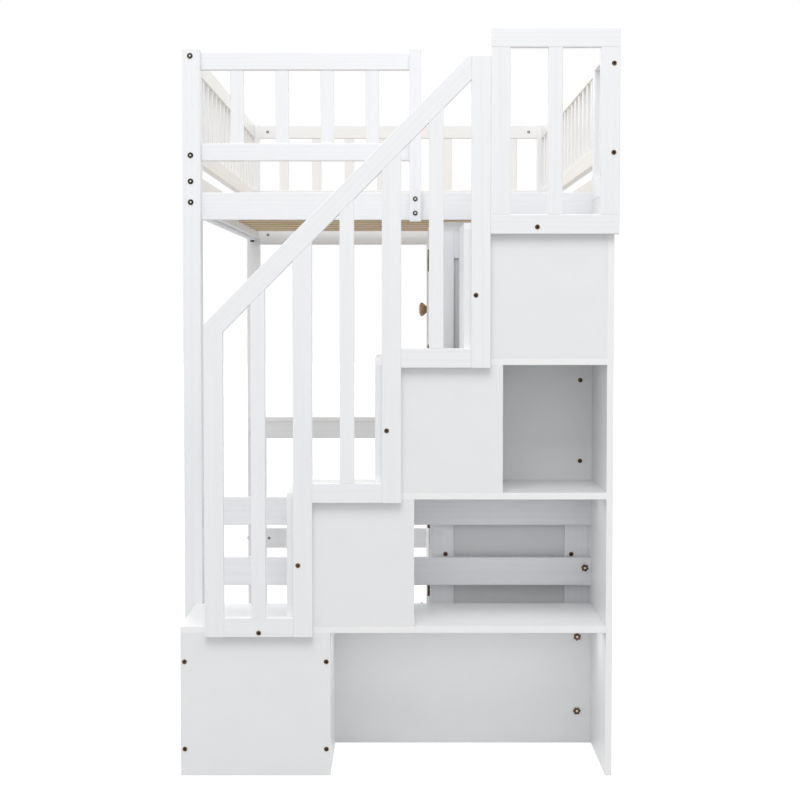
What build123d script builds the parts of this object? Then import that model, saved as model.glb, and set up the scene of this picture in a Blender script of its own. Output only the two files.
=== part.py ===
from build123d import *
import math
import os

# Loft bed with a stair unit across one end, a three-door cabinet and a desk under the deck.
# Millimetres. X runs across the bed, Y along it, Z up. The stair end faces -Y and is the front.
# The origin is on the floor, under the middle of the whole outline.

# Driving dimensions: the bed frame
bed_width = 1060.0
bed_length = 2015.0
post_width = 44.0
post_depth = 55.0
post_height = 1718.0
rail_thickness = 20.0
guard_top_z = (1672.0, 1716.0)
guard_low_z = (1448.0, 1491.0)
end_deck_rail_z = (1302.0, 1370.0)
side_deck_rail_z = (1317.0, 1415.0)
front_brace_levels = ((540.0, 610.0), (388.0, 458.0))
back_low_rail_z = (234.0, 303.0)
baluster_width = 33.0
baluster_thickness = 14.0
slat_count = 13
slat_width = 78.0
slat_pitch = 141.0
slat_thickness = 18.0
ledge_width = 14.0
ledge_z = (1324.0, 1346.0)

# Driving dimensions: the stair unit, made of panels
panel = 15.0
back_panel = 12.0
stair_depth = 342.0
first_tread_z = 348.0
rise = 310.0
step_run = 204.0
first_step_left = -502.0
second_step_left = -255.0
first_box_right = -155.0
box_width = 294.0
side_panel_x = (482.0, 497.0)
side_panel_above_landing = 70.0

# Driving dimensions: the guards on the stair
guard_thickness = 22.0
guard_stock = 44.0
guard_post_offset = 16.0
guard_rail_drop = 21.0
bottom_rail_height = 44.5
landing_low_rail_height = 45.0
handrail_width = 43.5
handrail_low_z = 1046.0
guard_post_top_z = 1654.0
landing_guard_x = (213.0, 506.0)
landing_guard_z = (1252.0, 1718.0)

# Driving dimensions: the cabinet, the doors and the desk
cabinet_x = (82.0, 481.0)
cabinet_depth = 450.0
cabinet_behind_post = 5.0
cabinet_stile = 60.0
cabinet_side = 20.0
cabinet_side_top_z = 1277.0
cabinet_top_z = 1297.0
cabinet_back_thickness = 8.0
shelf_bottoms = (46.0, 456.0, 865.0)
door_thickness = 18.0
door_proud = 3.3
door_gap = 3.0
door_frame_width = 52.0
door_panel = 8.0
desk_height = 714.0
desk_depth = 300.0
desk_half_width = 480.0
desk_apron = 56.0
back_apron_thickness = 18.0
desk_leg = 35.0

# Driving dimensions: fasteners, and how far edges are rounded
bolt_head_radius = 7.0
bolt_head_height = 2.5
bolt_shank_radius = 3.0
screw_head_radius = 5.6
screw_head_height = 1.6
screw_shank_radius = 2.0
tall_head_radius = 7.5
tall_head_height = 6.0
head_rounding = 0.5
socket_width = 0.42
socket_depth = 0.6
star_radius = 9.0
star_height = 4.0
pine_edge = 2.0
slim_edge = 1.5
sheet_edge = 0.6
end_break = 0.4

# Planes along the length, front to back
overall_length = screw_head_height + guard_thickness + stair_depth + bed_length + bolt_head_height
guard_front = -overall_length / 2 + screw_head_height
stair_front = guard_front + guard_thickness
bed_front = stair_front + stair_depth
front_post_back = bed_front + post_depth
bed_back = bed_front + bed_length
back_post_front = bed_back - post_depth
post_inner = bed_width / 2 - post_width
front_rail_y = (front_post_back - rail_thickness, front_post_back)
back_rail_y = (back_post_front, back_post_front + rail_thickness)


def middle(pair):
    """The middle of a (low, high) pair."""
    return (pair[0] + pair[1]) / 2


def eased(blank, direction, edge):
    """A length of pine with its long edges rounded over and its sawn ends only just broken."""
    longest = max(e.length for e in blank.edges())
    long_edges = [e for e in blank.edges() if e.length > 0.6 * longest]
    rounded = fillet([e for e in long_edges if abs((e % 0.5).dot(direction)) > 0.9], edge)
    end_edges = []
    for face in rounded.faces():
        if abs(face.normal_at().dot(direction)) > 0.3:
            end_edges += [e for e in face.edges() if e not in end_edges]
    return fillet(end_edges, end_break).solid()


def board(x, y, z, edge=pine_edge):
    """A straight length of pine between three (low, high) pairs."""
    sizes = (x[1] - x[0], y[1] - y[0], z[1] - z[0])
    direction = (Vector(1, 0, 0), Vector(0, 1, 0), Vector(0, 0, 1))[sizes.index(max(sizes))]
    return Pos(middle(x), middle(y), middle(z)) * eased(Box(*sizes), direction, edge)


def sheet_board(x, y, z):
    """A board sawn from sheet, between three (low, high) pairs, with all its edges broken."""
    block = Box(x[1] - x[0], y[1] - y[0], z[1] - z[0])
    return (Pos(middle(x), middle(y), middle(z)) * fillet(block.edges(), sheet_edge)).solid()


def cut_board(outline, y, direction):
    """A slim pine board with an outline of (x, z) points and its length along a direction."""
    wire = Polyline(*[(x, y[0], z) for x, z in outline], close=True)
    blank = extrude(make_face(wire), amount=y[1] - y[0], dir=(0, 1, 0))
    return eased(blank, direction, slim_edge)


def on_side(side, inner, outer):
    """A (low, high) pair across the bed, on the left (-1) or the right (+1)."""
    return tuple(sorted((side * inner, side * outer)))


def save(name, *solids):
    """Write one node, which may hold several separate solids."""
    shape = solids[0] if len(solids) == 1 else Compound(children=list(solids))
    export_step(shape, f"parts/{name}.step")


def fastener(point, direction, length, head_radius, head_height, shank_radius):
    """A low domed head with a socket, standing on a surface point, and its shank inside."""
    head = Cylinder(head_radius, head_height, align=(Align.CENTER, Align.CENTER, Align.MIN))
    head = fillet(head.faces().sort_by(Axis.Z)[-1].edges(), head_height * head_rounding)
    hexagon = Pos(0, 0, head_height) * RegularPolygon(head_radius * socket_width, 6)
    socket = extrude(hexagon, amount=-head_height * socket_depth)
    shank = Cylinder(shank_radius, length, align=(Align.CENTER, Align.CENTER, Align.MAX))
    place = Plane(origin=point, z_dir=direction)
    return (place * (head - socket + shank)).solid()


def bolt(point, direction, length):
    """A hex-socket furniture bolt."""
    return fastener(point, direction, length, bolt_head_radius, bolt_head_height, bolt_shank_radius)


def screw(point, direction, length):
    """A panel screw with a low round head."""
    return fastener(point, direction, length, screw_head_radius, screw_head_height, screw_shank_radius)


os.makedirs("parts", exist_ok=True)

# Four corner posts carry everything.
for end, y in (("front", (bed_front, front_post_back)), ("back", (back_post_front, bed_back))):
    for side, hand in ((-1, "left"), (1, "right")):
        save(f"post_{end}_{hand}", board(on_side(side, post_inner, bed_width / 2), y, (0, post_height)))

# Rails across the two ends, between the posts.
end_span = (-post_inner, post_inner)
save("front_deck_rail", board(end_span, front_rail_y, end_deck_rail_z))
for name, z in zip(("upper", "lower"), front_brace_levels):
    save(f"front_brace_rail_{name}", board(end_span, front_rail_y, z))
save("back_deck_rail", board(end_span, back_rail_y, end_deck_rail_z))
save("back_low_rail", board(end_span, back_rail_y, back_low_rail_z))


def guard_panel(span, y, low_z, centres):
    """Two rails across an end with upright balusters between them."""
    inset = (rail_thickness - baluster_thickness) / 2
    pieces = [board(span, y, guard_top_z), board(span, y, low_z)]
    for x in centres:
        width = (x - baluster_width / 2, x + baluster_width / 2)
        pieces.append(board(width, (y[0] + inset, y[1] - inset), (low_z[1], guard_top_z[0])))
    return pieces


# The front guard stops at a short post beside the way in from the stair.
stub_x = (30.0, 58.0)
front_baluster_first = -398.0
front_baluster_pitch = 112.0
front_baluster_count = 4
front_centres = [front_baluster_first + front_baluster_pitch * i for i in range(front_baluster_count)]
save("front_guard_panel", *guard_panel((-post_inner, stub_x[1]), front_rail_y, guard_low_z, front_centres))
stub_below_deck_rail = 4.5
stub_below_post_top = 1.0
stub_z = (end_deck_rail_z[0] - stub_below_deck_rail, post_height - stub_below_post_top)
save("front_guard_stub_post", board(stub_x, (bed_front, front_rail_y[0]), stub_z))

back_baluster_pitch = 114.0
back_baluster_count = 8
back_middle = (back_baluster_count - 1) / 2
back_centres = [back_baluster_pitch * (i - back_middle) for i in range(back_baluster_count)]
save("back_guard_panel", *guard_panel(end_span, back_rail_y, guard_low_z, back_centres))

# The long sides: deck rail, slat ledge, and a guard of two rails and sixteen balusters.
side_y = (front_post_back, back_post_front)
side_length = side_y[1] - side_y[0]
side_rail_inner = 500.0
side_rail_outer = side_rail_inner + rail_thickness
side_baluster_count = 16
side_end_spaces = 0.7
side_baluster_pitch = side_length / (side_baluster_count + side_end_spaces)


def side_guard(side):
    """Top and low rail along one side, with balusters between them."""
    inset = (rail_thickness - baluster_thickness) / 2
    across = on_side(side, side_rail_inner, side_rail_outer)
    pieces = [board(across, side_y, guard_top_z), board(across, side_y, guard_low_z)]
    thin = on_side(side, side_rail_inner + inset, side_rail_outer - inset)
    for i in range(side_baluster_count):
        y = middle(side_y) + (i - (side_baluster_count - 1) / 2) * side_baluster_pitch
        along = (y - baluster_width / 2, y + baluster_width / 2)
        pieces.append(board(thin, along, (guard_low_z[1], guard_top_z[0])))
    return pieces


for side, hand in ((-1, "left"), (1, "right")):
    rail = board(on_side(side, side_rail_inner, side_rail_outer), side_y, side_deck_rail_z)
    ledge = board(on_side(side, side_rail_inner - ledge_width, side_rail_inner), side_y, ledge_z)
    save(f"side_deck_rail_{hand}", rail, ledge)
    save(f"side_guard_{hand}", *side_guard(side))

# Pine slats lie on the two ledges and carry the mattress.
slat_z = (ledge_z[1], ledge_z[1] + slat_thickness)
slat_end_gap = 1.0
slat_x = (-side_rail_inner + slat_end_gap, side_rail_inner - slat_end_gap)
slats = []
for i in range(slat_count):
    y = middle(side_y) + (i - (slat_count - 1) / 2) * slat_pitch
    slats.append(board(slat_x, (y - slat_width / 2, y + slat_width / 2), slat_z))
save("deck_slats", *slats)

# The stair unit: level tops, left edges and right edges of the four steps.
tread_tops = [first_tread_z + rise * i for i in range(4)]
step_lefts = [first_step_left] + [second_step_left + step_run * i for i in range(3)]
middle_box_rights = [second_step_left + step_run * i + box_width for i in range(2)]
box_rights = [first_box_right] + middle_box_rights + [side_panel_x[0]]
box_floors = [0.0] + tread_tops[:3]
stair_y = (stair_front, stair_front + stair_depth)
board_y = (stair_front + panel, stair_y[1] - back_panel)

for i, name in enumerate(("tread_1", "tread_2", "tread_3", "landing_board")):
    top = (tread_tops[i] - panel, tread_tops[i])
    save(name, sheet_board((step_lefts[i], side_panel_x[0]), stair_y, top))
side_panel_top = tread_tops[3] + side_panel_above_landing
save("stair_side_panel", sheet_board(side_panel_x, stair_y, (0, side_panel_top)))

risers = []
dividers = []
for i in range(4):
    z = (box_floors[i], tread_tops[i] - panel)
    front_board = sheet_board((step_lefts[i], box_rights[i]), (stair_front, stair_front + panel), z)
    save(f"step_front_{i + 1}", front_board)
    risers.append(sheet_board((step_lefts[i], step_lefts[i] + panel), board_y, z))
    if i < 3:
        dividers.append(sheet_board((box_rights[i] - panel, box_rights[i]), board_y, z))
save("riser_boards", *risers)
save("divider_boards", *dividers)

# Backs: the lowest closes the first box and the bay beside it, the third closes the cubby too.
back_rights = (side_panel_x[0], box_rights[1], side_panel_x[0], side_panel_x[0])
backs = []
for i in range(4):
    z = (box_floors[i], tread_tops[i] - panel)
    backs.append(sheet_board((step_lefts[i], back_rights[i]), (board_y[1], stair_y[1]), z))
save("stair_back_boards", *backs)

# The stair guard stands in front of the unit: newel, three posts, short rails and balusters.
guard_y = (guard_front, stair_front)
post_lefts = [second_step_left + guard_post_offset + step_run * i for i in (-1, 0, 1, 2)]
handrail_start = post_lefts[0]
handrail_end = post_lefts[3]
level_run = 9.0
handrail_slope = (guard_post_top_z - handrail_low_z) / (handrail_end - level_run - handrail_start)
handrail_drop = handrail_width * math.hypot(1, handrail_slope)
handrail_direction = Vector(1, 0, handrail_slope).normalized()
upwards = Vector(0, 0, 1)


def under_handrail(x):
    """Height of the handrail's underside."""
    return handrail_low_z + (x - handrail_start) * handrail_slope - handrail_drop


def upright(left, width, foot):
    """A post or baluster whose top is cut to the handrail's underside."""
    right = left + width
    outline = [(left, foot), (right, foot), (right, under_handrail(right)), (left, under_handrail(left))]
    return cut_board(outline, guard_y, upwards)


feet = [first_tread_z + rise * i - guard_rail_drop for i in range(3)]
newel_right = post_lefts[0] + guard_stock
newel = [
    (post_lefts[0], feet[0]),
    (newel_right, feet[0]),
    (newel_right, under_handrail(newel_right)),
    (post_lefts[0], handrail_low_z),
]
save("stair_newel_post", cut_board(newel, guard_y, upwards))
top_post_x = (post_lefts[3], post_lefts[3] + guard_stock)
guard_posts = [upright(post_lefts[1], guard_stock, feet[0]), upright(post_lefts[2], guard_stock, feet[1])]
guard_posts.append(board(top_post_x, guard_y, (feet[2], guard_post_top_z), slim_edge))
save("stair_guard_posts", *guard_posts)

handrail = [
    (handrail_start, handrail_low_z),
    (newel_right, under_handrail(newel_right)),
    (handrail_end, under_handrail(handrail_end)),
    (handrail_end, guard_post_top_z),
    (handrail_end - level_run, guard_post_top_z),
]
save("stair_handrail", cut_board(handrail, guard_y, handrail_direction))

bottom_rails = []
stair_balusters = []
for i in range(3):
    bay = (post_lefts[i] + guard_stock, post_lefts[i + 1])
    rail_top = feet[i] + bottom_rail_height
    bottom_rails.append(board(bay, guard_y, (feet[i], rail_top), slim_edge))
    stair_balusters.append(upright(middle(bay) - baluster_width / 2, baluster_width, rail_top))
save("stair_guard_bottom_rails", *bottom_rails)
save("stair_guard_balusters", *stair_balusters)

# The landing guard is a five-piece frame beside the last post.
low_rail = (landing_guard_z[0], landing_guard_z[0] + landing_low_rail_height)
top_rail = (landing_guard_z[1] - guard_stock, landing_guard_z[1])
stile_z = (low_rail[1], top_rail[0])
middle_stile = middle(landing_guard_x)
landing_pieces = [board(landing_guard_x, guard_y, low_rail), board(landing_guard_x, guard_y, top_rail)]
stile_spans = (
    (landing_guard_x[0], landing_guard_x[0] + guard_stock),
    (middle_stile - baluster_width / 2, middle_stile + baluster_width / 2),
    (landing_guard_x[1] - guard_stock, landing_guard_x[1]),
)
for span in stile_spans:
    landing_pieces.append(board(span, guard_y, stile_z))
save("landing_guard_frame", *landing_pieces)

# The landing's outer side has a second frame that stands on the side panel.
side_frame_x = (480.0, 502.0)
side_frame_top = 1704.0
side_frame_low_rail_z = (side_panel_top, side_panel_top + 50.0)
side_frame_top_rail_z = (side_frame_top - guard_stock, side_frame_top)
side_frame_stiles = ((stair_y[0], stair_y[0] + guard_stock), (stair_y[1] - guard_stock, stair_y[1]))
side_frame_inner = (side_frame_stiles[0][1], side_frame_stiles[1][0])
side_frame = [board(side_frame_x, y, (side_panel_top, side_frame_top)) for y in side_frame_stiles]
for z in (side_frame_low_rail_z, side_frame_top_rail_z):
    side_frame.append(board(side_frame_x, side_frame_inner, z))
save("landing_side_guard", *side_frame)

# The cabinet: two framed sides, three boards, a top and a back. It opens towards -X.
cabinet_front = front_post_back + cabinet_behind_post
cabinet_y = (cabinet_front, cabinet_front + cabinet_depth)
cabinet_inner_y = (cabinet_y[0] + cabinet_side, cabinet_y[1] - cabinet_side)
side_panel_inset = 7.0
cabinet_rail = 70.0
low_side_rail = (0.0, cabinet_rail)


def cabinet_side_frame(y):
    """Two stiles to the floor, two rails and a thin recessed panel."""
    inner = (cabinet_x[0] + cabinet_stile, cabinet_x[1] - cabinet_stile)
    pieces = [board((cabinet_x[0], inner[0]), y, (0, cabinet_side_top_z))]
    pieces.append(board((inner[1], cabinet_x[1]), y, (0, cabinet_side_top_z)))
    pieces.append(board(inner, y, (cabinet_side_top_z - cabinet_rail, cabinet_side_top_z)))
    pieces.append(board(inner, y, low_side_rail))
    panel_y = (y[0] + side_panel_inset, y[1] - side_panel_inset)
    panel_z = (low_side_rail[1], cabinet_side_top_z - cabinet_rail)
    pieces.append(sheet_board(inner, panel_y, panel_z))
    return pieces


save("cabinet_side_front", *cabinet_side_frame((cabinet_y[0], cabinet_inner_y[0])))
save("cabinet_side_back", *cabinet_side_frame((cabinet_inner_y[1], cabinet_y[1])))
door_x = (cabinet_x[0] - door_proud, cabinet_x[0] - door_proud + door_thickness)
shelf_setback = 1.3
shelf_x = (door_x[1] + shelf_setback, cabinet_x[1])
shelves = [sheet_board(shelf_x, cabinet_inner_y, (z, z + panel)) for z in shelf_bottoms]
save("cabinet_shelves", *shelves)
save("cabinet_top_board", sheet_board(cabinet_x, cabinet_y, (cabinet_side_top_z, cabinet_top_z)))
cabinet_back_x = (cabinet_x[1], cabinet_x[1] + cabinet_back_thickness)
save("cabinet_back_panel", sheet_board(cabinet_back_x, cabinet_y, (shelf_bottoms[0], cabinet_top_z)))

# Doors: framed, inset between the cabinet's sides, each on two hinges at its front edge.
door_y = (cabinet_inner_y[0] + door_gap, cabinet_inner_y[1] - door_gap)
door_floors = [z + panel + door_gap for z in shelf_bottoms]
door_tops = [shelf_bottoms[1] - door_gap, shelf_bottoms[2] - door_gap, cabinet_side_top_z - door_gap]
hinge_length = 55.0
low_hinge_above_floor = 53.0
high_hinge_below_top = 99.0
knuckle_radius = 3.2
pin_radius = 1.3
pin_clearance = 0.05
leaf_width = 16.0
leaf_thickness = 1.3
knuckle_gap = 0.4
notch_clearance = 0.3
hinge_x = cabinet_x[0] - knuckle_radius
hinge_y = cabinet_inner_y[0] + door_gap / 2
knob_radius = 19.0
knob_height = 20.7
knob_foot_radius = 9.0
knob_from_edge = 25.0


def barrel(z, radius):
    """A cylinder on the hinge axis."""
    return Pos(hinge_x, hinge_y, middle(z)) * Cylinder(radius, z[1] - z[0])


def door(z, hinge_feet):
    """Two stiles, two rails and a recessed panel; the near stile is notched for its hinges."""
    inner_y = (door_y[0] + door_frame_width, door_y[1] - door_frame_width)
    inner_z = (z[0] + door_frame_width, z[1] - door_frame_width)
    near_stile = board(door_x, (door_y[0], inner_y[0]), z, slim_edge)
    for foot in hinge_feet:
        notch_z = (foot - notch_clearance, foot + hinge_length + notch_clearance)
        near_stile -= barrel(notch_z, knuckle_radius + notch_clearance)
    pieces = [near_stile.solid(), board(door_x, (inner_y[1], door_y[1]), z, slim_edge)]
    pieces.append(board(door_x, inner_y, (z[0], inner_z[0]), slim_edge))
    pieces.append(board(door_x, inner_y, (inner_z[1], z[1]), slim_edge))
    recess = (door_thickness - door_panel) / 2
    pieces.append(sheet_board((door_x[0] + recess, door_x[1] - recess), inner_y, inner_z))
    return pieces


def plate(x, y, z):
    """A small square-edged plate between three (low, high) pairs."""
    return Pos(middle(x), middle(y), middle(z)) * Box(x[1] - x[0], y[1] - y[0], z[1] - z[0])


def knuckle_bands(foot):
    """Three stacked knuckles: the cabinet's lower and upper, and the door's between them."""
    third = hinge_length / 3
    low = (foot, foot + third)
    mid = (foot + third + knuckle_gap, foot + 2 * third - knuckle_gap)
    high = (foot + 2 * third, foot + hinge_length)
    return low, mid, high


leaf_behind_knuckle = 0.3
bridge_lap = 1.0
leaf_start = hinge_x + knuckle_radius + leaf_behind_knuckle
leaf_x = (leaf_start, leaf_start + leaf_width)
bridge_x = (hinge_x + knuckle_radius - bridge_lap, leaf_start + bridge_lap)
cabinet_leaf_y = (cabinet_inner_y[0], cabinet_inner_y[0] + leaf_thickness)
door_leaf_y = (door_y[0] - leaf_thickness, door_y[0])


def cabinet_leaf(foot):
    """The fixed leaf, its two knuckles and the pin through all three."""
    low, mid, high = knuckle_bands(foot)
    leaf = plate(leaf_x, cabinet_leaf_y, (foot, foot + hinge_length))
    for band in (low, high):
        leaf += plate(bridge_x, cabinet_leaf_y, band) + barrel(band, knuckle_radius)
    return (leaf + barrel((foot, foot + hinge_length), pin_radius)).solid()


def door_leaf(foot):
    """The moving leaf and its bored middle knuckle."""
    mid = knuckle_bands(foot)[1]
    leaf = plate(leaf_x, door_leaf_y, (foot, foot + hinge_length))
    leaf += plate(bridge_x, door_leaf_y, mid) + barrel(mid, knuckle_radius)
    return (leaf - barrel(mid, pin_radius + pin_clearance)).solid()


def knob(z):
    """A turned knob, a cone that swells to a low dome, standing out from the door towards -X."""
    foot = Line((0, 0), (knob_foot_radius, 0))
    cone = (0.64 * knob_radius, 0.2 * knob_height)
    rim = (knob_radius, 0.52 * knob_height)
    dome = (0.76 * knob_radius, 0.84 * knob_height)
    start = (knob_foot_radius, 0)
    tip = (0, knob_height)
    side = Spline(start, cone, rim, dome, tip, tangents=((0.5, 1), (-1, 0)))
    profile = Plane.XZ * make_face(foot + side + Line(tip, (0, 0)))
    place = Plane(origin=(door_x[0], door_y[1] - knob_from_edge, z), z_dir=(-1, 0, 0))
    return (place * revolve(profile, Axis.Z)).solid()


cabinet_leaves = []
for name, floor, top in zip(("lower", "middle", "upper"), door_floors, door_tops):
    feet_of_hinges = (floor + low_hinge_above_floor, top - high_hinge_below_top)
    save(f"{name}_door", *door((floor, top), feet_of_hinges))
    save(f"{name}_door_hinge_leaves", *[door_leaf(foot) for foot in feet_of_hinges])
    save(f"{name}_door_knob", knob((floor + top) / 2))
    cabinet_leaves += [cabinet_leaf(foot) for foot in feet_of_hinges]
save("cabinet_hinge_leaves", *cabinet_leaves)

# The desk stands between the back posts: a top on a frame with two front legs.
desk_y = (back_post_front - desk_depth, back_post_front)
desk_top_z = (desk_height - panel, desk_height)
apron_z = (desk_top_z[0] - desk_apron, desk_top_z[0])
leg_inner = desk_half_width - desk_leg
save("desk_top", sheet_board((-desk_half_width, desk_half_width), desk_y, desk_top_z))
apron_setback = 2.0
front_apron_y = (desk_y[0] + apron_setback, desk_y[0] + apron_setback + rail_thickness)
save("desk_front_apron", board((-leg_inner, leg_inner), front_apron_y, apron_z))
back_apron_y = (desk_y[1] - back_apron_thickness, desk_y[1])
back_apron_lap = 40.0
back_apron_x = (-post_inner - back_apron_lap, post_inner + back_apron_lap)
save("desk_back_apron", board(back_apron_x, back_apron_y, apron_z))
for side, hand in ((-1, "left"), (1, "right")):
    leg_x = on_side(side, leg_inner, desk_half_width)
    save(f"desk_leg_{hand}", board(leg_x, (desk_y[0], desk_y[0] + desk_leg), (0, apron_z[1])))

# Bolts through the posts: four in each end face, into the side rails and side guards.
post_bolt_z = (1702.0, 1459.0, 1395.0, 1344.0)
post_bolt_x = 510.0
end_bolt_length = 75.0
bolts = []
for side in (-1, 1):
    for z in post_bolt_z:
        bolts.append(bolt((side * post_bolt_x, bed_front, z), (0, -1, 0), end_bolt_length))
        bolts.append(bolt((side * post_bolt_x, bed_back, z), (0, 1, 0), end_bolt_length))

# Bolts through the posts' outer faces into the end rails, met there by barrel nuts.
cross_bolt_length = 80.0
nut_x = 456.0
nut_radius = 5.0
nut_depth = 12.0
nut_proud = 0.4
front_cross_z = [middle(guard_top_z), middle(guard_low_z), middle(end_deck_rail_z)]
front_cross_z += [middle(z) for z in front_brace_levels]
back_cross_z = [middle(guard_top_z), middle(guard_low_z), middle(end_deck_rail_z), middle(back_low_rail_z)]
nuts = []
for side in (-1, 1):
    front_levels = front_cross_z if side < 0 else front_cross_z[2:]
    for y, levels, inward in ((front_rail_y, front_levels, 1), (back_rail_y, back_cross_z, -1)):
        face = y[1] if inward > 0 else y[0]
        for z in levels:
            bolts.append(bolt((side * bed_width / 2, middle(y), z), (side, 0, 0), cross_bolt_length))
            nut = Cylinder(nut_radius, nut_depth, align=(Align.CENTER, Align.CENTER, Align.MAX))
            place = Plane(origin=(side * nut_x, face + inward * nut_proud, z), z_dir=(0, inward, 0))
            nuts.append((place * nut).solid())

# Two bolts hold the short guard post to the deck rail.
stub_bolt_z = (1352.0, 1317.0)
stub_bolt_length = 50.0
for z in stub_bolt_z:
    bolts.append(bolt((middle(stub_x), bed_front, z), (0, -1, 0), stub_bolt_length))

# A tall-headed bolt stands under each end of the side deck rails, close to the post.
under_rail_inset = 14.0
under_rail_length = 20.0
downwards = (0, 0, -1)
tall_head = (tall_head_radius, tall_head_height, bolt_shank_radius)
for side in (-1, 1):
    for y in (side_y[0] + under_rail_inset, side_y[1] - under_rail_inset):
        point = (side * post_bolt_x, y, side_deck_rail_z[0])
        bolts.append(fastener(point, downwards, under_rail_length, *tall_head))
save("frame_bolts", *bolts)
save("barrel_nuts", *nuts)

# Screws through the front of the first box and through the guards in front of the stair.
front = (0, -1, 0)
box_screw_inset = 9.5
box_screw_z = (62.0, 266.0)
box_screw_length = 40.0
screws = []
for x in (first_step_left + box_screw_inset, first_box_right - box_screw_inset):
    for z in box_screw_z:
        screws.append(screw((x, stair_front, z), front, box_screw_length))

post_screw_inset = 10.6
post_screw_drop = 165.0
post_screw_length = 34.0
for i in (1, 2, 3):
    point = (post_lefts[i] + post_screw_inset, guard_front, tread_tops[i] - post_screw_drop)
    screws.append(screw(point, front, post_screw_length))

guard_screw_length = 50.0
first_rail_screw_z = first_tread_z - 11.0
first_bay_middle = (newel_right + post_lefts[1]) / 2
screws.append(screw((first_bay_middle, guard_front, first_rail_screw_z), front, guard_screw_length))
landing_screw_x = landing_guard_x[0] + 106.0
landing_screw_z = tread_tops[3] - 10.0
screws.append(screw((landing_screw_x, guard_front, landing_screw_z), front, guard_screw_length))
stile_screw_x = landing_guard_x[1] - 14.0
stile_screw_z = (1437.0, 1638.0)
for z in stile_screw_z:
    screws.append(screw((stile_screw_x, guard_front, z), front, guard_screw_length))

# Screws through the cubby's back, and through both cabinet sides into the middle shelf.
back_screw_length = 11.0
cubby_screw_x = 452.0
cubby_screw_z = (705.0, 905.0)
for z in cubby_screw_z:
    screws.append(screw((cubby_screw_x, board_y[1], z), front, back_screw_length))
cabinet_screw_x = (cabinet_x[0] + 39.0, cabinet_x[1] - 43.0)
cabinet_screw_z = shelf_bottoms[1] + panel / 2
cabinet_screw_length = 45.0
for x in cabinet_screw_x:
    screws.append(screw((x, cabinet_y[0], cabinet_screw_z), front, cabinet_screw_length))
    screws.append(screw((x, cabinet_y[1], cabinet_screw_z), (0, 1, 0), cabinet_screw_length))
save("panel_screws", *screws)

# Star bolts: two in the lowest back board and one in the lower brace rail.
star_core = 0.62 * star_radius
star_lobe = 0.32 * star_radius
star_reach = star_radius - star_lobe
star_board_x = 447.0
star_board_z = (80.0, 266.0)
star_rail_x = 470.0
star_rail_z = 432.0
star_rail_length = 6.0


def star_bolt(x, y, z, length):
    """A six-lobed connector head on a panel's front face."""
    on_face = (Align.CENTER, Align.CENTER, Align.MIN)
    lobes = Cylinder(star_core, star_height, align=on_face)
    for i in range(6):
        angle = math.radians(60 * i)
        place = Pos(star_reach * math.cos(angle), star_reach * math.sin(angle), 0)
        lobes += place * Cylinder(star_lobe, star_height, align=on_face)
    shank = Cylinder(bolt_shank_radius, length, align=(Align.CENTER, Align.CENTER, Align.MAX))
    return (Plane(origin=(x, y, z), z_dir=front) * (lobes + shank)).solid()


stars = [star_bolt(star_board_x, board_y[1], z, back_screw_length) for z in star_board_z]
stars.append(star_bolt(star_rail_x, front_rail_y[0], star_rail_z, star_rail_length))
save("star_bolts", *stars)

print("overall", round(overall_length, 1), "long,", round(side_baluster_pitch, 1), "side baluster pitch")
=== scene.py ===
import math

import bmesh
import bpy
from mathutils import Matrix, Vector


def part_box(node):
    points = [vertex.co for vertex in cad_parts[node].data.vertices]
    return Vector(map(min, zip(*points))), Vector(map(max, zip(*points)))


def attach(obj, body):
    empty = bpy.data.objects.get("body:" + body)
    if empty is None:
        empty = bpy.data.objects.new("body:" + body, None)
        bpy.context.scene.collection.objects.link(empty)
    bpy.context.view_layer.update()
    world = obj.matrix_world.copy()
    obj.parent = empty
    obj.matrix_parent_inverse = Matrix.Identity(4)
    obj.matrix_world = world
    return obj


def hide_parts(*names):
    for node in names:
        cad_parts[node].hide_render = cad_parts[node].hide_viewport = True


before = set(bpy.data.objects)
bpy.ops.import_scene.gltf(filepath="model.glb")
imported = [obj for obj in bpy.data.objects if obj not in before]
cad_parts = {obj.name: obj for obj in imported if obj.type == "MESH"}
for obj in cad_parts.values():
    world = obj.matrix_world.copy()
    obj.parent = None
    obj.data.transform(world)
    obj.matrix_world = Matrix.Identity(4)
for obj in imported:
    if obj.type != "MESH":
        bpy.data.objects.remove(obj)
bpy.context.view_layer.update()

scene = bpy.context.scene
millimetre = 0.001

# The camera. The photograph looks along the bed from beyond its stair end, a little downwards.
# The lens and the place come from a pinhole camera fitted to the post, rail and floor edges.
image_size = 800
focal_pixels = 1888.0
sensor_mm = 36.0
camera_distance = 4.333
camera_right = 0.0063
camera_height = 1.0907
camera_pitch = math.radians(2.882)
stair_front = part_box("step_front_1")[0].y

camera_data = bpy.data.cameras.new("camera")
camera_data.sensor_width = sensor_mm
camera_data.lens = focal_pixels / image_size * sensor_mm
camera = bpy.data.objects.new("camera", camera_data)
camera.location = (camera_right, stair_front - camera_distance, camera_height)
camera.rotation_euler = (math.pi / 2 - camera_pitch, 0, 0)
scene.collection.objects.link(camera)
scene.camera = camera
scene.view_settings.view_transform = "Standard"


# The studio. A white sweep of card under the bed, an even white room, and four large soft lamps.
# The room and the floor look white to the camera and in reflections, and light the bed more softly.
def linear(hex_colour):
    """An sRGB hex colour, turned linear, with full alpha."""
    channels = [int(hex_colour[i:i + 2], 16) / 255 for i in (1, 3, 5)]
    return [c / 12.92 if c <= 0.04045 else ((c + 0.055) / 1.055) ** 2.4 for c in channels] + [1.0]


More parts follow.
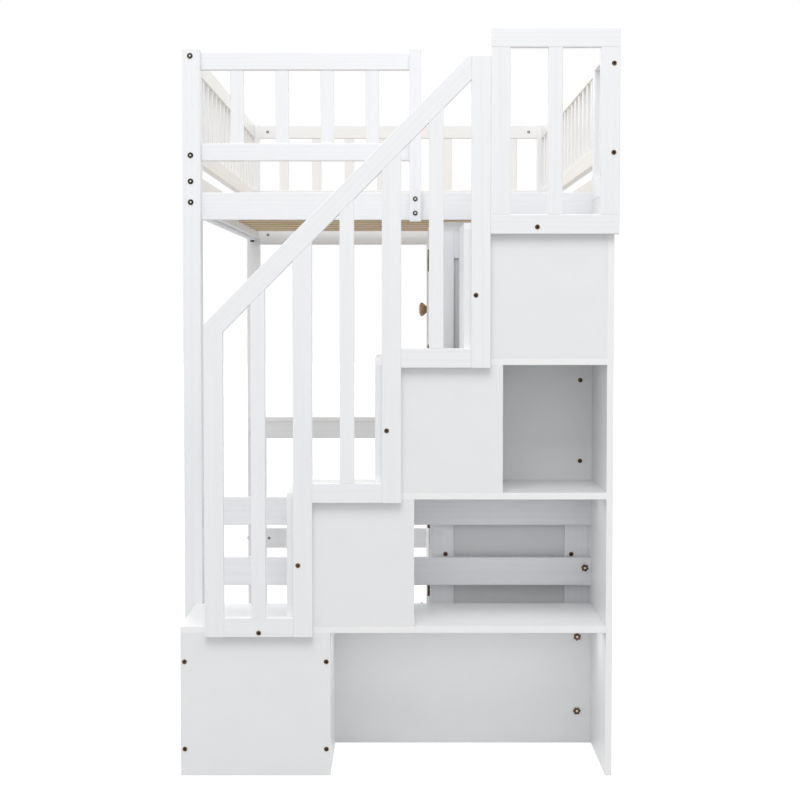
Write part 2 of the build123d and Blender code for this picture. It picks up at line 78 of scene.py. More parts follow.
def add_node(tree, kind, settings, inputs):
    """Add a node, set its properties, and give its inputs values, or links from nodes or sockets."""
    new = tree.nodes.new("ShaderNode" + kind)
    for name, value in settings.items():
        setattr(new, name, value)
    for name, value in inputs.items():
        if isinstance(value, bpy.types.Node):
            value = value.outputs[0]
        if isinstance(value, bpy.types.NodeSocket):
            tree.links.new(value, new.inputs[name])
        else:
            new.inputs[name].default_value = value
    return new


def seen_directly(tree):
    """1 for rays from the camera, and for mirror and glass rays, and otherwise 0."""
    ray = add_node(tree, "LightPath", {}, {})
    direct = ray.outputs["Is Camera Ray"]
    for kind in ("Is Glossy Ray", "Is Transmission Ray"):
        direct = add_node(tree, "Math", {"operation": "MAXIMUM"}, {0: direct, 1: ray.outputs[kind]})
    return direct


room_light = 0.85
floor_half_width = 30.0
floor_glow = 0.95
floor_shadow_share = 0.22
floor_bounce = 0.45
floor_gap = 0.5 * millimetre
white = (1, 1, 1, 1)

room = bpy.data.worlds.new("white_room")
scene.world = room
room.use_nodes = True
room.node_tree.nodes.clear()
dim_room = add_node(room.node_tree, "Background", {}, {"Color": white, "Strength": room_light})
white_room = add_node(room.node_tree, "Background", {}, {"Color": white, "Strength": 1.0})
room_mix = add_node(
    room.node_tree, "MixShader", {}, {0: seen_directly(room.node_tree), 1: dim_room, 2: white_room}
)
add_node(room.node_tree, "OutputWorld", {}, {"Surface": room_mix})

floor_card = bpy.data.materials.new("white_card_sweep")
floor_card.use_nodes = True
tree = floor_card.node_tree
tree.nodes.clear()
bounce = add_node(tree, "BsdfDiffuse", {}, {"Color": [floor_bounce] * 3 + [1]})
glow = add_node(tree, "Emission", {}, {"Color": white, "Strength": floor_glow})
shadowed = add_node(tree, "BsdfDiffuse", {}, {"Color": [floor_shadow_share] * 3 + [1]})
white_card = add_node(tree, "AddShader", {}, {0: glow, 1: shadowed})
floor_mix = add_node(tree, "MixShader", {}, {0: seen_directly(tree), 1: bounce, 2: white_card})
add_node(tree, "OutputMaterial", {}, {"Surface": floor_mix})

floor_bm = bmesh.new()
bmesh.ops.create_grid(floor_bm, x_segments=1, y_segments=1, size=floor_half_width)
bmesh.ops.translate(floor_bm, vec=(0, 0, -floor_gap), verts=floor_bm.verts)
floor_mesh = bpy.data.meshes.new("studio_floor")
floor_bm.to_mesh(floor_mesh)
floor_bm.free()
floor_mesh.materials.append(floor_card)
floor = bpy.data.objects.new("studio_floor", floor_mesh)
scene.collection.objects.link(floor)


def soft_lamp(name, place, target, size, power):
    """A square area lamp that faces a target point."""
    data = bpy.data.lights.new(name, "AREA")
    data.shape = "SQUARE"
    data.size = size
    data.energy = power
    lamp = bpy.data.objects.new(name, data)
    lamp.location = place
    lamp.rotation_euler = (Vector(target) - Vector(place)).to_track_quat("-Z", "Y").to_euler()
    scene.collection.objects.link(lamp)


high_power = 84.6
left_power = 27.2
top_power = 14.0
back_power = 45.0
high_front_place = (-0.2, stair_front - 3.2, 4.4)
left_place = (-4.2, -0.6, 2.4)
top_place = (0.3, 0.2, 4.8)
back_place = (-0.5, 5.2, 3.2)
bed_middle = (0, 0, 0.9)
deck_middle = (0, 0.2, 1.4)
broad = 3.0
medium = 2.6
narrow = 2.2
soft_lamp("high_front_lamp", high_front_place, bed_middle, medium, high_power)
soft_lamp("left_lamp", left_place, bed_middle, medium, left_power)
soft_lamp("top_lamp", top_place, deck_middle, narrow, top_power)
soft_lamp("back_lamp", back_place, bed_middle, broad, back_power)


def bay_lamp(name, left, right, height, power):
    """A small soft lamp under a shelf, which faces down and isn't seen itself."""
    data = bpy.data.lights.new(name, "AREA")
    data.shape = "RECTANGLE"
    data.size = right - left
    data.size_y = bay_lamp_depth
    data.energy = power
    lamp = bpy.data.objects.new(name, data)
    lamp.location = ((left + right) / 2, stair_front + bay_lamp_setback, height)
    lamp.visible_camera = False
    lamp.visible_glossy = False
    scene.collection.objects.link(lamp)


# The open bays of the stair are filled with light in the photograph, as from cards held close by.
shelf_power = 0.177
cubby_power = 0.0297
floor_bay_power = 0.492
bay_lamp_depth = 0.14
bay_lamp_setback = 0.11
shelf_left = 0.06
cubby_left = 0.262
floor_bay_left = -0.13
bay_right = 0.465
shelf_lamp_height = 0.638
cubby_lamp_height = 0.948
floor_bay_lamp_height = 0.328
bay_lamp("shelf_lamp", shelf_left, bay_right, shelf_lamp_height, shelf_power)
bay_lamp("cubby_lamp", cubby_left, bay_right, cubby_lamp_height, cubby_power)
bay_lamp("floor_bay_lamp", floor_bay_left, bay_right, floor_bay_lamp_height, floor_bay_power)


# Corner posts: four lengths of planed pine, 44 by 55 mm, sprayed with white satin lacquer.
# The lacquer levels most of the grain, and the harder growth rings still show as faint streaks.
def place_in_mm(tree, tilt=0.0):
    """Object coordinates in millimetres, turned by tilt about Y, and the same split into axes."""
    place = add_node(tree, "TexCoord", {}, {}).outputs["Object"]
    level = add_node(tree, "VectorRotate", {"rotation_type": "Y_AXIS"}, {"Vector": place, "Angle": tilt})
    scaled = add_node(tree, "VectorMath", {"operation": "SCALE"}, {"Vector": level, "Scale": 1 / millimetre})
    return scaled.outputs[0], add_node(tree, "SeparateXYZ", {}, {0: scaled})


def inside_boxes(tree, axes, boxes):
    """1 inside any of the boxes, each {axis: (low, high)} in metres, and otherwise 0."""
    found = 0.0
    for limits in boxes:
        inside = 1.0
        for axis, (low, high) in limits.items():
            in_range = add_node(tree, "Math", {"operation": "COMPARE"}, {
                0: axes.outputs["xyz".index(axis)],
                1: (low + high) / 2 / millimetre,
                2: (high - low) / 2 / millimetre,
            })
            inside = add_node(tree, "Math", {"operation": "MULTIPLY"}, {0: in_range, 1: inside})
        found = add_node(tree, "Math", {"operation": "MAXIMUM"}, {0: inside, 1: found})
    return found


def grain_vector(tree, place, axes, along, turned=()):
    """The place with its axes swapped so that Z runs along the grain, upright inside the turned boxes."""
    order = {"x": (1, 2, 0), "y": (2, 0, 1), "z": (0, 1, 2)}
    first, second, third = [axes.outputs[i] for i in order[along]]
    level_grain = add_node(tree, "CombineXYZ", {}, {0: first, 1: second, 2: third})
    upright = inside_boxes(tree, axes, turned)
    mix = add_node(tree, "Mix", {"data_type": "VECTOR"}, {0: upright, 4: level_grain, 5: place})
    return mix.outputs[1]


def stretched_noise(tree, vector, across_mm, along_mm, detail):
    """Noise whose blobs are across_mm wide and along_mm long, about 0 to 1."""
    scale = (1 / across_mm, 1 / across_mm, 1 / along_mm)
    scaled = add_node(tree, "VectorMath", {"operation": "MULTIPLY"}, {0: vector, 1: scale})
    return add_node(tree, "TexNoise", {}, {"Vector": scaled, "Scale": 1.0, "Detail": detail}).outputs[0]


def growth_rings(tree, vector, spacing_mm, wander_mm):
    """Latewood lines, 1 on the dark line and 0 between, from rings about a pith beside the board."""
    pith = (83.0, -47.0, 0.0)
    wander_size_mm = (60.0, 1500.0)
    line_sharpness = 3.0
    from_pith = add_node(tree, "VectorMath", {"operation": "ADD"}, {0: vector, 1: pith})
    across = add_node(tree, "VectorMath", {"operation": "MULTIPLY"}, {0: from_pith, 1: (1, 1, 0)})
    distance = add_node(tree, "VectorMath", {"operation": "LENGTH"}, {0: across}).outputs["Value"]
    wander = stretched_noise(tree, vector, *wander_size_mm, 3.0)
    shifted = add_node(tree, "Math", {"operation": "MULTIPLY_ADD"}, {0: wander, 1: wander_mm, 2: distance})
    angle = add_node(tree, "Math", {"operation": "MULTIPLY"}, {0: shifted, 1: 2 * math.pi / spacing_mm})
    wave = add_node(tree, "Math", {"operation": "SINE"}, {0: angle})
    half = add_node(tree, "Math", {"operation": "MULTIPLY_ADD"}, {0: wave, 1: 0.5, 2: 0.5})
    return add_node(tree, "Math", {"operation": "POWER"}, {0: half, 1: line_sharpness}).outputs[0]


def finish_material(name, build):
    """A material whose surface the build function makes in its empty tree."""
    material = bpy.data.materials.new(name)
    material.use_nodes = True
    material.node_tree.nodes.clear()
    shader = build(material.node_tree)
    add_node(material.node_tree, "OutputMaterial", {}, {"Surface": shader})
    return material


def lacquered_pine(name, along, turned=(), plain_shaded_boxes=(), tilt=0.0):
    """White satin lacquer sprayed over planed pine, with the grain running one way along each board.

    It gives the eye a soft sheen and faint streaks along each board. In the turned boxes the grain is
    upright. In the plain boxes there is a smooth sheet panel without grain instead, painted greyer as
    painted shade for its recess.
    """
    lacquer = linear("#F3F4F6")
    over_latewood = linear("#EDEEF1")
    # Painted shade: the sheet panels get this greyer white, which stands for the shade in their recess.
    sheet_paint_and_recess_shade = linear("#DDDEE0")
    ring_spacing_mm = 9.0
    ring_wander_mm = 24.0
    ring_weight = 0.5
    fibre_size_mm = (2.6, 110.0)
    fibre_weight = 0.8
    patch_size_mm = (45.0, 320.0)
    sheet_tone = 0.5
    smooth_roughness = 0.42
    grained_roughness = 0.56
    film_height = 0.03 * millimetre

    def build(tree):
        place, axes = place_in_mm(tree, tilt)
        grain = grain_vector(tree, place, axes, along, turned)
        rings = growth_rings(tree, grain, ring_spacing_mm, ring_wander_mm)
        fibres = stretched_noise(tree, grain, *fibre_size_mm, 3.0)
        patches = stretched_noise(tree, grain, *patch_size_mm, 2.0)
        faint_rings = add_node(tree, "Math", {"operation": "MULTIPLY"}, {0: rings, 1: ring_weight})
        ring_share = add_node(tree, "Math", {"operation": "MULTIPLY"}, {0: faint_rings, 1: patches})
        grained = add_node(
            tree, "Math", {"operation": "MULTIPLY_ADD"}, {0: fibres, 1: fibre_weight, 2: ring_share}
        )
        sheet_and_shade = inside_boxes(tree, axes, plain_shaded_boxes)
        streaks = add_node(tree, "Mix", {"data_type": "FLOAT"}, {
            0: sheet_and_shade, 2: grained, 3: sheet_tone,
        }).outputs[0]
        tone = add_node(tree, "MapRange", {}, {0: streaks, 1: 0.25, 2: 1.0, 3: 0.0, 4: 1.0})
        colour = add_node(tree, "Mix", {"data_type": "RGBA"}, {0: tone, 6: lacquer, 7: over_latewood})
        # Inside the sheet boxes the colour is the greyer sheet paint, which is painted shade for the recess.
        panelled = add_node(
            tree, "Mix", {"data_type": "RGBA"}, {0: sheet_and_shade, 6: colour.outputs[2], 7: sheet_paint_and_recess_shade}
        )
        gloss = add_node(
            tree, "MapRange", {}, {0: streaks, 1: 0.2, 2: 1.0, 3: smooth_roughness, 4: grained_roughness}
        )
        bump = add_node(tree, "Bump", {}, {"Strength": 0.4, "Distance": film_height, "Height": streaks})
        return add_node(tree, "BsdfPrincipled", {}, {
            "Base Color": panelled.outputs[2], "Roughness": gloss, "IOR": 1.5, "Normal": bump,
        })

    return finish_material(name, build)


def paint(material, *nodes):
    """Give CAD nodes this finish."""
    for name in nodes:
        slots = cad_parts[name].data.materials
        slots.clear()
        slots.append(material)


post_names = [f"post_{end}_{hand}" for end in ("front", "back") for hand in ("left", "right")]
pine_upright = lacquered_pine("white_lacquered_pine_upright", "z")
paint(pine_upright, *post_names)

# End rails and braces: 20 mm pine between the posts, bolted through them into barrel nuts.
# The grain runs across the bed.
pine_across = lacquered_pine("white_lacquered_pine_across", "x")
paint(pine_across, "front_deck_rail", "front_brace_rail_upper", "front_brace_rail_lower")
paint(pine_across, "back_deck_rail", "back_low_rail")

# Side deck rails: a tall pine rail along each side, with a ledge glued and screwed inside it.
# The grain runs along the bed.
pine_along = lacquered_pine("white_lacquered_pine_along", "y")
paint(pine_along, "side_deck_rail_left", "side_deck_rail_right")


# Slats: thirteen planed pine boards that lie loose on the ledges. They are left bare,
# so their colour is that of the wood, with brown latewood lines, a few darker streaks and painted shade on
# their sides.
def bare_pine(name, along):
    """Planed pine without any finish: straw yellow earlywood, brown latewood, dull all over.

    It gives the eye fine lines along each slat, and painted shade on the side faces that parts one slat from
    the next.
    """
    earlywood = linear("#ECDDBC")
    latewood = linear("#C7A97C")
    streak_colour = linear("#D8C39A")
    # Painted shade: a dark brown for the slats' side faces, which stands for the shade in the gaps between
    # slats.
    painted_gap_shade = linear("#8C7049")
    ring_spacing_mm = 7.0
    ring_wander_mm = 90.0
    fibre_size_mm = (1.8, 90.0)
    streak_size_mm = (24.0, 500.0)
    relief_height = 0.2 * millimetre
    dull = 0.68

    def build(tree):
        grain = grain_vector(tree, *place_in_mm(tree), along)
        rings = growth_rings(tree, grain, ring_spacing_mm, ring_wander_mm)
        fibres = stretched_noise(tree, grain, *fibre_size_mm, 3.0)
        streaks = stretched_noise(tree, grain, *streak_size_mm, 2.0)
        wood = add_node(tree, "Mix", {"data_type": "RGBA"}, {0: rings, 6: earlywood, 7: latewood})
        streak_share = add_node(tree, "MapRange", {}, {0: streaks, 1: 0.42, 2: 0.68, 3: 0.0, 4: 0.7})
        streaked = add_node(
            tree, "Mix", {"data_type": "RGBA"}, {0: streak_share, 6: wood.outputs[2], 7: streak_colour}
        )
        # Painted shade: faces that look along Y, the slats' sides toward each other, are darkened toward
        # brown.
        surface = add_node(tree, "NewGeometry", {}, {})
        normal = add_node(tree, "SeparateXYZ", {}, {0: surface.outputs["Normal"]})
        steep = add_node(tree, "Math", {"operation": "ABSOLUTE"}, {0: normal.outputs["Y"]})
        gap_shade_share = add_node(tree, "MapRange", {}, {0: steep, 1: 0.3, 2: 0.8, 3: 0.0, 4: 0.75})
        gap_shaded = add_node(
            tree, "Mix", {"data_type": "RGBA"}, {0: gap_shade_share, 6: streaked.outputs[2], 7: painted_gap_shade}
        )
        relief = add_node(tree, "Math", {"operation": "MULTIPLY_ADD"}, {0: rings, 1: 0.5, 2: fibres})
        bump = add_node(tree, "Bump", {}, {"Strength": 0.5, "Distance": relief_height, "Height": relief})
        return add_node(tree, "BsdfPrincipled", {}, {
            "Base Color": gap_shaded.outputs[2], "Roughness": dull, "IOR": 1.45, "Normal": bump,
        })

    return finish_material(name, build)


paint(bare_pine("bare_planed_pine", "x"), "deck_slats")

# Bed guards: two pine rails with thin pine balusters let in between them.
# The balusters' grain runs upright, so each height band between the rails is turned.
guard_low_rail = 43 * millimetre
guard_top_rail = 44 * millimetre
guard_low, guard_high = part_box("front_guard_panel")
baluster_band = {"z": (guard_low.z + guard_low_rail, guard_high.z - guard_top_rail)}
end_guard_pine = lacquered_pine("white_lacquered_pine_end_guard", "x", [baluster_band])
side_guard_pine = lacquered_pine("white_lacquered_pine_side_guard", "y", [baluster_band])
paint(end_guard_pine, "front_guard_panel", "back_guard_panel")
paint(side_guard_pine, "side_guard_left", "side_guard_right")
paint(pine_upright, "front_guard_stub_post")


# The stair unit: boards sawn from melamine-faced chipboard, screwed together through their faces.
# The glued-on edge bands are a slightly brighter white than the faces, a painted highlight for the light
# they catch.
def melamine(name, banded_highlight_boxes=()):
    """White melamine-faced board with a fine pebbled press texture, and brighter edge bands.

    It gives the eye a flat, even white with a low sheen, outlined where an edge is banded. The bands'
    brighter white is a painted highlight for the light they catch.
    banded_highlight_boxes lists boxes, each {axis: (low, high)} in metres, that hold the banded edges.
    """
    face = linear("#F0F1F2")
    # Painted highlight: the brighter band white stands for the light that the banded edges catch.
    band_and_highlight = linear("#F6F6F7")
    cloud = linear("#ECEDEE")
    cloud_mm = 70.0
    pebble_mm = 1.4
    smooth_roughness = 0.34
    pebbled_roughness = 0.44
    press_height = 0.04 * millimetre

    def build(tree):
        place, axes = place_in_mm(tree)
        banded_highlight = inside_boxes(tree, axes, banded_highlight_boxes)
        clouds = stretched_noise(tree, place, cloud_mm, cloud_mm, 2.0)
        pebbles = stretched_noise(tree, place, pebble_mm, pebble_mm, 2.0)
        mottled = add_node(tree, "Mix", {"data_type": "RGBA"}, {0: clouds, 6: face, 7: cloud})
        colour = add_node(tree, "Mix", {"data_type": "RGBA"}, {0: banded_highlight, 6: mottled.outputs[2], 7: band_and_highlight})
        gloss = add_node(
            tree, "MapRange", {}, {0: pebbles, 1: 0.3, 2: 0.7, 3: smooth_roughness, 4: pebbled_roughness}
        )
        bump = add_node(tree, "Bump", {}, {"Strength": 0.25, "Distance": press_height, "Height": pebbles})
        return add_node(tree, "BsdfPrincipled", {}, {
            "Base Color": colour.outputs[2], "Roughness": gloss, "IOR": 1.5, "Normal": bump,
        })

    return finish_material(name, build)


band_depth = 0.8 * millimetre
front_band_highlight = {"y": (stair_front - band_depth, stair_front + band_depth)}
# The front edges of the treads, landing and side panel get the brighter band white, partly a painted
# highlight.
banded_melamine = melamine("white_melamine_banded_board", [front_band_highlight])
paint(banded_melamine, "tread_1", "tread_2", "tread_3", "landing_board", "stair_side_panel")
plain_melamine = melamine("white_melamine_board")
paint(plain_melamine, "step_front_1", "step_front_2", "step_front_3", "step_front_4")
paint(plain_melamine, "riser_boards", "divider_boards", "stair_back_boards")

# The stair guard: newel, posts, short rails and balusters of slim pine, all flush at the front.
# The sloping handrail is glued and screwed down on their mitred tops.
paint(pine_upright, "stair_newel_post", "stair_guard_posts", "stair_guard_balusters")
paint(pine_across, "stair_guard_bottom_rails")
handrail_low, handrail_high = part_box("stair_handrail")
handrail_slope = math.atan2(handrail_high.z - handrail_low.z, handrail_high.x - handrail_low.x)
paint(lacquered_pine("white_lacquered_pine_handrail", "x", tilt=handrail_slope), "stair_handrail")

# The landing guards: a five-piece frame at the front and a four-piece frame at the side.
# Rails lie across the stiles' ends, so the band between the rails has upright grain.
landing_low_rail = 45 * millimetre
landing_top_rail = 44 * millimetre
landing_low, landing_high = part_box("landing_guard_frame")
landing_band = {"z": (landing_low.z + landing_low_rail, landing_high.z - landing_top_rail)}
paint(lacquered_pine("white_lacquered_pine_landing_guard", "x", [landing_band]), "landing_guard_frame")
side_low, side_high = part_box("landing_side_guard")
stile = 44 * millimetre
side_stiles = [{"y": (side_low.y, side_low.y + stile)}, {"y": (side_high.y - stile, side_high.y)}]
paint(lacquered_pine("white_lacquered_pine_landing_side", "y", side_stiles), "landing_side_guard")

# The cabinet: framed pine sides with thin recessed panels, melamine shelves, top and back.
# Stiles and panels have upright grain, and the rails between the stiles run across.
cabinet_low, cabinet_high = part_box("cabinet_side_front")
past_face = 1 * millimetre
cabinet_stile = 60 * millimetre
cabinet_rail = 70 * millimetre
cabinet_inner = {
    "x": (cabinet_low.x + cabinet_stile, cabinet_high.x - cabinet_stile),
    "z": (cabinet_rail, cabinet_high.z - cabinet_rail),
}
cabinet_uprights = [
    {"x": (cabinet_low.x - past_face, cabinet_low.x + cabinet_stile)},
    {"x": (cabinet_high.x - cabinet_stile, cabinet_high.x + past_face)},
]
# The panels inside the stiles and rails are plain sheet, painted greyer as painted shade for their recess.
cabinet_paint = lacquered_pine("white_lacquered_pine_cabinet_side", "x", cabinet_uprights, [cabinet_inner])
paint(cabinet_paint, "cabinet_side_front", "cabinet_side_back")
paint(plain_melamine, "cabinet_shelves", "cabinet_top_board", "cabinet_back_panel")

# The doors: framed like the cabinet's sides, each hung on two butt hinges at its front edge.
# Only the rails have level grain, along the bed.
door_frame = 52 * millimetre
for door in ("lower_door", "middle_door", "upper_door"):
    door_low, door_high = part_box(door)
    door_uprights = [
        {"y": (door_low.y - past_face, door_low.y + door_frame)},
        {"y": (door_high.y - door_frame, door_high.y + past_face)},
    ]
    door_inner = {
        "y": (door_low.y + door_frame, door_high.y - door_frame),
        "z": (door_low.z + door_frame, door_high.z - door_frame),
    }
    # The door panels are plain sheet, painted greyer as painted shade for their recess.
    paint(lacquered_pine(f"white_lacquered_pine_{door}", "y", door_uprights, [door_inner]), door)


# The knobs: turned beech, stained brown and varnished, each held by a screw from inside the door.
# The grain runs out from the door, so the dome shows rings, and the varnish gives one clear highlight.
def varnished_wood(name):
    """Brown-stained turned wood under a semi-gloss varnish."""
    light_wood = linear("#C39652")
    dark_wood = linear("#6A451F")
    ring_spacing_mm = 4.5
    ring_wander_mm = 14.0
    ring_weight = 0.55
    fibre_size_mm = (1.1, 12.0)
    pore_depth = 0.1 * millimetre
    wood_roughness = 0.38
    varnish_share = 0.6
    varnish_roughness = 0.16

    def build(tree):
        grain = grain_vector(tree, *place_in_mm(tree), "x")
        rings = growth_rings(tree, grain, ring_spacing_mm, ring_wander_mm)
        fibres = stretched_noise(tree, grain, *fibre_size_mm, 3.0)
        tone = add_node(tree, "Math", {"operation": "MULTIPLY_ADD"}, {0: rings, 1: ring_weight, 2: fibres})
        share = add_node(tree, "MapRange", {}, {0: tone, 1: 0.3, 2: 1.1, 3: 0.0, 4: 1.0})
        colour = add_node(tree, "Mix", {"data_type": "RGBA"}, {0: share, 6: light_wood, 7: dark_wood})
        bump = add_node(tree, "Bump", {}, {"Strength": 0.2, "Distance": pore_depth, "Height": tone})
        return add_node(tree, "BsdfPrincipled", {}, {
            "Base Color": colour.outputs[2], "Roughness": wood_roughness, "IOR": 1.5, "Normal": bump,
            "Coat Weight": varnish_share, "Coat Roughness": varnish_roughness,
        })

    return finish_material(name, build)


def add_piece(name, bm, materials, body, node):
    """Make an object from a bmesh, riding on a body and standing in for a CAD node."""
    mesh = bpy.data.meshes.new(name)
    bm.to_mesh(mesh)
    bm.free()
    for material in materials:
        mesh.materials.append(material)
    piece = bpy.data.objects.new(name, mesh)
    scene.collection.objects.link(piece)
    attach(piece, body)
    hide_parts(node)
    return piece


weld_distance = 1e-6
knob_segments = 48
beech = varnished_wood("brown_varnished_beech")
knob_outline_mm = [
    (0, 0), (8.8, 0), (10.4, 2.0), (12.6, 4.2), (14.8, 6.4), (16.8, 8.6), (18.4, 10.8), (19.0, 12.8),
    (18.6, 15.0), (16.9, 17.2), (13.8, 19.0), (9.4, 20.2), (4.6, 20.6), (0, 20.7),
]
for door in ("lower_door", "middle_door", "upper_door"):
    knob_low, knob_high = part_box(f"{door}_knob")
    foot = Vector((knob_high.x, (knob_low.y + knob_high.y) / 2, (knob_low.z + knob_high.z) / 2))
    bm = bmesh.new()
    outline = [bm.verts.new((out * millimetre, 0, up * millimetre)) for out, up in knob_outline_mm]
    edges = [bm.edges.new(pair) for pair in zip(outline, outline[1:])]
    bmesh.ops.spin(
        bm, geom=outline + edges, cent=(0, 0, 0), axis=(0, 0, 1), angle=2 * math.pi, steps=knob_segments,
        use_merge=True,
    )
    bmesh.ops.remove_doubles(bm, verts=bm.verts, dist=weld_distance)
    bmesh.ops.recalc_face_normals(bm, faces=bm.faces)
    for face in bm.faces:
        face.smooth = True
    outward = Vector((-1, 0, 0)).to_track_quat("Z", "Y").to_matrix().to_4x4()
    bmesh.ops.transform(bm, matrix=Matrix.Translation(foot) @ outward, verts=bm.verts)
    add_piece(f"{door}_turned_knob", bm, [beech], door, f"{door}_knob")


# The hinges: folded and rolled steel, plated antique bronze. The plating is dark brown in the
# hollows and rubbed brighter in small patches.
def plated_steel(name, dark_hex, rubbed_hex, roughness):
    """Plated steel with cloudy rubbed patches and fine brush marks, which break up its highlights."""
    dark = linear(dark_hex)
    rubbed = linear(rubbed_hex)
    patch_mm = 3.5
    mark_size_mm = (0.7, 5.0)
    smoother = roughness - 0.06
    rougher = roughness + 0.08
    mark_depth = 0.05 * millimetre

    def build(tree):
        place = place_in_mm(tree)[0]
        patches = stretched_noise(tree, place, patch_mm, patch_mm, 3.0)
        marks = stretched_noise(tree, place, *mark_size_mm, 2.0)
        share = add_node(tree, "MapRange", {}, {0: patches, 1: 0.42, 2: 0.7, 3: 0.0, 4: 1.0})
        colour = add_node(tree, "Mix", {"data_type": "RGBA"}, {0: share, 6: dark, 7: rubbed})
        gloss = add_node(tree, "MapRange", {}, {0: marks, 1: 0.3, 2: 0.7, 3: smoother, 4: rougher})
        bump = add_node(tree, "Bump", {}, {"Strength": 0.3, "Distance": mark_depth, "Height": marks})
        return add_node(tree, "BsdfPrincipled", {}, {
            "Base Color": colour.outputs[2], "Roughness": gloss, "Metallic": 1.0, "Normal": bump,
        })

    return finish_material(name, build)


bronze = plated_steel("antique_bronze_plated_steel", "#4A3A2C", "#8A7052", 0.4)
hinge_nodes = ["cabinet_hinge_leaves"] + [f"{d}_door_hinge_leaves" for d in ("lower", "middle", "upper")]
paint(bronze, *hinge_nodes)

# The desk: a melamine top on pine aprons and two square front legs, between the back posts.
# The top's front edge is banded.
desk_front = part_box("desk_top")[0].y
# The desk top's front edge gets the brighter band white, partly a painted highlight.
desk_band_highlight = {"y": (desk_front - band_depth, desk_front + band_depth)}
paint(melamine("white_melamine_desk_top", [desk_band_highlight]), "desk_top")
paint(pine_across, "desk_front_apron", "desk_back_apron")
paint(pine_upright, "desk_leg_left", "desk_leg_right")


# Frame bolts: steel connecting bolts with a low domed head and a hex socket, plated black-bronze.
# They pull the rails to the posts. The socket's walls and floor are a brighter steel than the head, as a
# painted highlight.
def loose_parts(node):
    """The lowest corner, the highest corner and all points of each separate solid in a CAD node."""
    bm = bmesh.new()
    bm.from_mesh(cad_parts[node].data)
    bmesh.ops.remove_doubles(bm, verts=bm.verts, dist=weld_distance)
    waiting = set(bm.verts)
    found = []
    for start in bm.verts:
        if start not in waiting:
            continue
        waiting.discard(start)
        part = [start]
        for vert in part:
            for edge in vert.link_edges:
                other = edge.other_vert(vert)
                if other in waiting:
                    waiting.discard(other)
                    part.append(other)
        lows = Vector([min(v.co[i] for v in part) for i in range(3)])
        highs = Vector([max(v.co[i] for v in part) for i in range(3)])
        found.append((lows, highs, [v.co.copy() for v in part]))
    bm.free()
    return found


def bolt_ends(node):
    """For each bolt in a node: the middle of its head's outer face, and the way that face looks."""
    same_level = 1e-5
    ends = []
    for lows, highs, points in loose_parts(node):
        size = highs - lows
        axis = max(range(3), key=lambda i: size[i])
        centre = (lows + highs) / 2
        shank = Vector([i == axis for i in range(3)])
        widths = []
        for level in (lows[axis], highs[axis]):
            at_end = [p for p in points if abs(p[axis] - level) < same_level]
            widths.append(max((p - centre).cross(shank).length for p in at_end))
        sign = -1 if widths[0] > widths[1] else 1
        outward = sign * shank
        face = centre.copy()
        face[axis] = lows[axis] if sign < 0 else highs[axis]
        ends.append((face, outward))
    return ends


def polygon(sides, radius):
    """Corners of a regular polygon."""
    angles = [2 * math.pi * i / sides for i in range(sides)]
    return [Vector((radius * math.cos(angle), radius * math.sin(angle), 0)) for angle in angles]


def head_mesh(name, rings, recess, depth, materials, lobes=0.0):
    """A fastener's head that stands on z = 0: rings of (radius, height), then a recess in its top.

    lobes makes the outline six-lobed by that share of its radius.
    """
    segments = 36
    lobe_count = 6
    bm = bmesh.new()
    bmesh.ops.create_circle(bm, segments=segments, radius=rings[0][0], cap_ends=True)
    bmesh.ops.translate(bm, vec=(0, 0, rings[0][1]), verts=bm.verts)
    edges = list(bm.edges)
    for before, (radius, height) in zip(rings, rings[1:]):
        out = bmesh.ops.extrude_edge_only(bm, edges=edges)["geom"]
        ring = [g for g in out if isinstance(g, bmesh.types.BMVert)]
        corners = set(ring)
        edges = [g for g in out if isinstance(g, bmesh.types.BMEdge) and corners.issuperset(g.verts)]
        share = radius / before[0]
        bmesh.ops.scale(bm, vec=(share, share, 1), verts=ring)
        bmesh.ops.translate(bm, vec=(0, 0, height - before[1]), verts=ring)
    for vert in bm.verts:
        wave = 1 + lobes * math.cos(lobe_count * math.atan2(vert.co.y, vert.co.x))
        vert.co.x *= wave
        vert.co.y *= wave
    top = rings[-1][1]
    mouth = bmesh.ops.create_circle(bm, segments=len(recess), radius=1, cap_ends=False)["verts"]
    for vert, corner in zip(mouth, recess):
        vert.co = corner + Vector((0, 0, top))
    mouth_verts = set(mouth)
    mouth_edges = [e for e in bm.edges if mouth_verts.issuperset(e.verts)]
    bmesh.ops.bridge_loops(bm, edges=edges + mouth_edges)
    out = bmesh.ops.extrude_edge_only(bm, edges=mouth_edges)["geom"]
    bottom = [g for g in out if isinstance(g, bmesh.types.BMVert)]
    walls = [g for g in out if isinstance(g, bmesh.types.BMFace)]
    bmesh.ops.translate(bm, vec=(0, 0, -depth), verts=bottom)
    bottom_verts = set(bottom)
    bottom_edges = [e for e in bm.edges if bottom_verts.issuperset(e.verts)]
    base = bmesh.ops.contextual_create(bm, geom=bottom_edges)["faces"]
    # The recess takes the second material, which on these fasteners is the painted highlight steel.
    for face in walls + base:
        face.material_index = 1
    bmesh.ops.recalc_face_normals(bm, faces=bm.faces)
    for face in bm.faces:
        face.smooth = True
    mesh = bpy.data.meshes.new(name)
    bm.to_mesh(mesh)
    bm.free()
    for material in materials:
        mesh.materials.append(material)
    mesh.set_sharp_from_angle(angle=sharp_edge)
    return mesh


